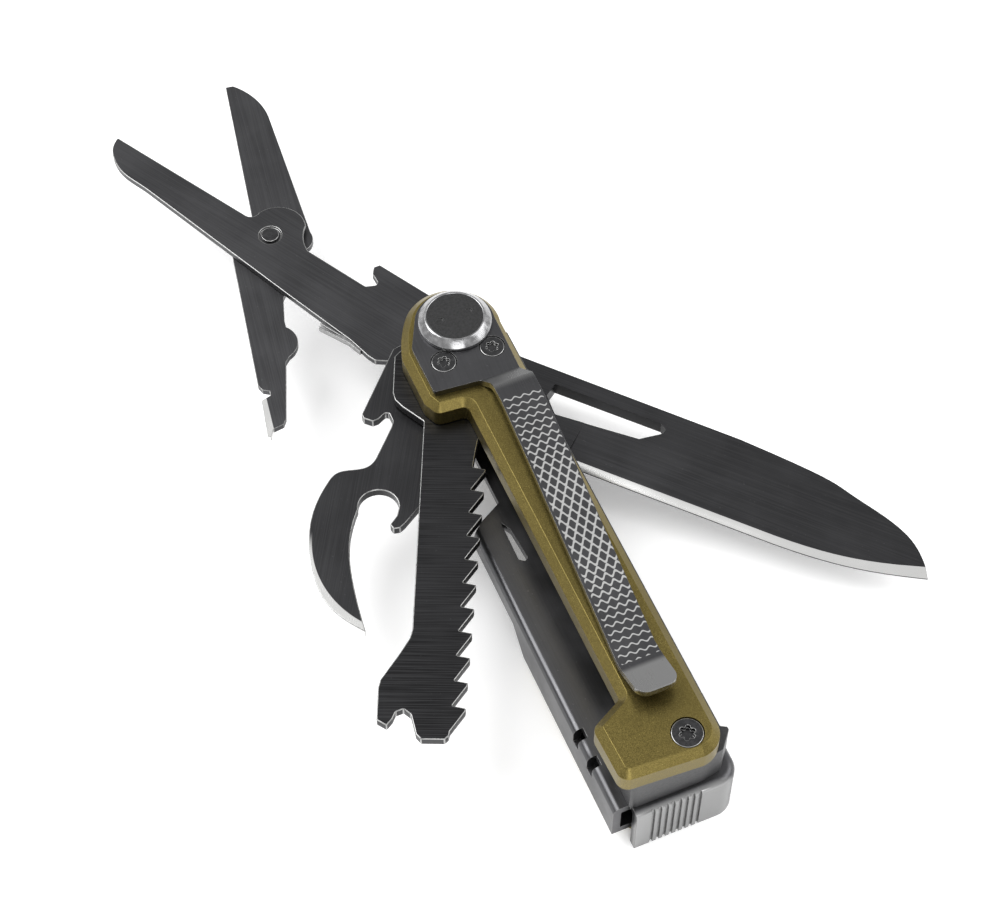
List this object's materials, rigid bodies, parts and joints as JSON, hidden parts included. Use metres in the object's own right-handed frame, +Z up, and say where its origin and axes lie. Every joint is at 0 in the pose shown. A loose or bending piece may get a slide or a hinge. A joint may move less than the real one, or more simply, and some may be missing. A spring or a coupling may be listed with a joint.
{
  "type": "folding multi tool",
  "caption": "Pocket folding tool: sheet-steel channel handle with gold scales and a clip, and a knife, saw, can opener and sprung scissors that turn on one pivot.",
  "frame": {"origin": "on the tools' pivot axis, at the resting face of the back scale", "axes": "+Z up out of the clip side, along the pivot axis; the handle runs along -Y from the pivot to the butt; +X is the side that the knife opens from"},
  "size_m": [0.0893, 0.1536, 0.0249],
  "materials": {
    "black_steel": "satin black coating on steel sheet",
    "gold_scale": "bead-blasted olive-gold anodised",
    "black_spacer": "matte",
    "plain_steel": "satin",
    "screw_steel": "satin black",
    "polished_steel": "polished",
    "dark_disc": "satin black",
    "bronze": "plain",
    "blade_steel": "black coating, bright ground edges"
  },
  "bodies": {
    "handle": {"frame": "black_steel", "front_scale": "gold_scale", "back_scale": "gold_scale", "back_spacer": "black_spacer", "foot_block": "black_spacer", "foot_pins": "plain_steel", "pocket_clip": "black_steel", "clip_screws": "screw_steel", "scale_screw": "screw_steel", "back_screws": "screw_steel", "pivot_barrel": "plain_steel", "pivot_cap": "polished_steel", "pivot_cap_insert": "dark_disc", "pivot_back_bolt": "polished_steel", "blade_washer_lower": "bronze", "blade_washer_upper": "bronze", "scissors_washer": "plain_steel", "scissors_opener_washer": "plain_steel", "opener_saw_washer": "plain_steel", "saw_scale_washer": "plain_steel"},
    "knife": {"knife_blade": "blade_steel"},
    "saw": {"saw": "blade_steel"},
    "opener": {"opener": "blade_steel"},
    "scissors": {"scissors_arm": "blade_steel", "scissors_spring": "plain_steel", "scissors_rivet": "screw_steel"},
    "scissors_lever": {"scissors_lever": "blade_steel"}
  },
  "joints": [
    {"name": "knife_pivot", "type": "hinge", "parent": "handle", "child": "knife", "pos_m": [0, 0, 0.0066], "axis": [0, 0, 1], "range_deg": [-42, 138]},
    {"name": "saw_pivot", "type": "hinge", "parent": "handle", "child": "saw", "pos_m": [0, 0, 0.0159], "axis": [0, 0, 1], "range_deg": [-156, 24]},
    {"name": "opener_pivot", "type": "hinge", "parent": "handle", "child": "opener", "pos_m": [0, 0, 0.014], "axis": [0, 0, 1], "range_deg": [-138, 42]},
    {"name": "scissors_pivot", "type": "hinge", "parent": "handle", "child": "scissors", "pos_m": [0, 0, 0.0123], "axis": [0, 0, 1], "range_deg": [-32, 148]},
    {"name": "scissors_lever_pivot", "type": "hinge", "parent": "scissors", "child": "scissors_lever", "pos_m": [-0.01839, 0.03545, 0.011], "axis": [0, 0, 1], "range_deg": [0, 39], "stiffness_Nm_per_rad": 0.05}
  ]
}
